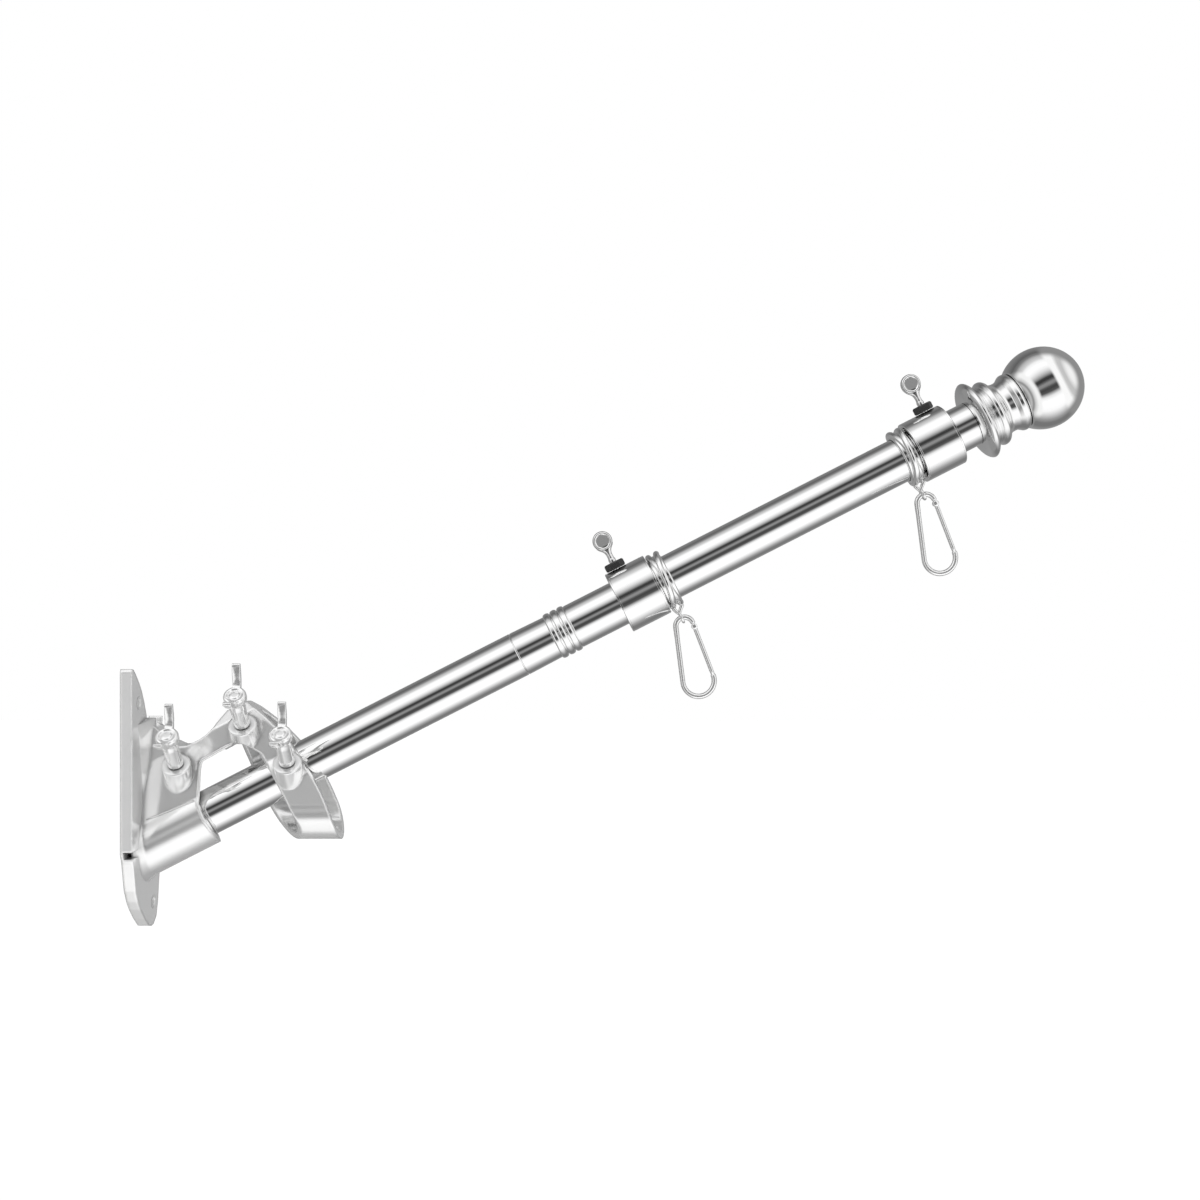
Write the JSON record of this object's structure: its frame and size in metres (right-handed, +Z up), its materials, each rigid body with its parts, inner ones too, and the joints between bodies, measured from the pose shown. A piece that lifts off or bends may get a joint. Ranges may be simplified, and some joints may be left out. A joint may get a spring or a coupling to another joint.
{
  "type": "wall-mounted flagpole",
  "caption": "Slanted two-section metal flagpole in a cast wall bracket, with clamped sleeves, swivel rings, snap clips and a ball finial.",
  "frame": {"origin": "centre of the wall plate's back face, where it lies on the wall", "axes": "+X straight out from the wall, +Z up, +Y to the side (right-handed); the pole lies in the XZ plane and rises toward +X; the wing screws are on the -Y side"},
  "size_m": [0.5288, 0.083, 0.3249],
  "materials": {
    "polished_steel": "polished",
    "cast_bracket": "polished casting",
    "cast_screw": "polished",
    "black_nut": "black"
  },
  "bodies": {
    "pole_and_bracket": {"bracket_casting": "cast_bracket", "lower_tube": "polished_steel", "upper_tube": "polished_steel", "finial_collar": "polished_steel", "finial_ball": "polished_steel"},
    "wing_screw_wall": {"wing_screw_wall": "cast_screw"},
    "wing_screw_top": {"wing_screw_top": "cast_screw"},
    "wing_screw_end": {"wing_screw_end": "cast_screw"},
    "sleeve_lower": {"sleeve_lower": "polished_steel", "thumb_nut_lower": "black_nut"},
    "thumb_screw_lower": {"thumb_screw_lower": "polished_steel"},
    "ring_lower": {"swivel_ring_lower": "polished_steel", "ring_eye_lower": "polished_steel"},
    "clip_lower": {"clip_body_lower": "polished_steel"},
    "gate_lower": {"clip_gate_lower": "polished_steel"},
    "sleeve_upper": {"sleeve_upper": "polished_steel", "thumb_nut_upper": "black_nut"},
    "thumb_screw_upper": {"thumb_screw_upper": "polished_steel"},
    "ring_upper": {"swivel_ring_upper": "polished_steel", "ring_eye_upper": "polished_steel"},
    "clip_upper": {"clip_body_upper": "polished_steel"},
    "gate_upper": {"clip_gate_upper": "polished_steel"}
  },
  "joints": [
    {"name": "wing_screw_wall_turn", "type": "hinge", "parent": "pole_and_bracket", "child": "wing_screw_wall", "pos_m": [0.0264, -0.0166, 0.0189], "axis": [0, -0.7071, 0.7071], "range_deg": [-180, 180]},
    {"name": "wing_screw_top_turn", "type": "hinge", "parent": "pole_and_bracket", "child": "wing_screw_top", "pos_m": [0.0624, -0.015, 0.0406], "axis": [0, -0.7071, 0.7071], "range_deg": [-180, 180]},
    {"name": "wing_screw_end_turn", "type": "hinge", "parent": "pole_and_bracket", "child": "wing_screw_end", "pos_m": [0.088, -0.0198, 0.0203], "axis": [0, -0.7071, 0.7071], "range_deg": [-180, 180]},
    {"name": "sleeve_lower_slide", "type": "slide", "parent": "pole_and_bracket", "child": "sleeve_lower", "axis": [0.891, 0, 0.454], "range_m": [-0.019, 0.06]},
    {"name": "thumb_screw_lower_turn", "type": "hinge", "parent": "sleeve_lower", "child": "thumb_screw_lower", "pos_m": [0.2679, 0, 0.12778], "axis": [-0.454, 0, 0.891], "range_deg": [-180, 180]},
    {"name": "ring_lower_spin", "type": "hinge", "parent": "sleeve_lower", "child": "ring_lower", "pos_m": [0.29474, 0, 0.12137], "axis": [0.891, 0, 0.454], "continuous": true},
    {"name": "clip_lower_swing", "type": "hinge", "parent": "ring_lower", "child": "clip_lower", "pos_m": [0.30552, 0, 0.09801], "axis": [0, -1, 0], "range_deg": [-35, 35]},
    {"name": "gate_lower_open", "type": "hinge", "parent": "clip_lower", "child": "gate_lower", "pos_m": [0.31153, 0, 0.09553], "axis": [0, 1, 0], "range_deg": [0, 18], "stiffness_Nm_per_rad": 0.05, "springref_deg": -11.46},
    {"name": "sleeve_upper_slide", "type": "slide", "parent": "pole_and_bracket", "child": "sleeve_upper", "axis": [0.891, 0, 0.454], "range_m": [-0.06, 0.007]},
    {"name": "thumb_screw_upper_turn", "type": "hinge", "parent": "sleeve_upper", "child": "thumb_screw_upper", "pos_m": [0.4404, 0, 0.21567], "axis": [-0.454, 0, 0.891], "range_deg": [-180, 180]},
    {"name": "ring_upper_spin", "type": "hinge", "parent": "sleeve_upper", "child": "ring_upper", "pos_m": [0.42982, 0, 0.19019], "axis": [0.891, 0, 0.454], "continuous": true},
    {"name": "clip_upper_swing", "type": "hinge", "parent": "ring_upper", "child": "clip_upper", "pos_m": [0.44059, 0, 0.16684], "axis": [0, -1, 0], "range_deg": [-35, 35]},
    {"name": "gate_upper_open", "type": "hinge", "parent": "clip_upper", "child": "gate_upper", "pos_m": [0.4466, 0, 0.16436], "axis": [0, 1, 0], "range_deg": [0, 18], "stiffness_Nm_per_rad": 0.05, "springref_deg": -11.46}
  ]
}
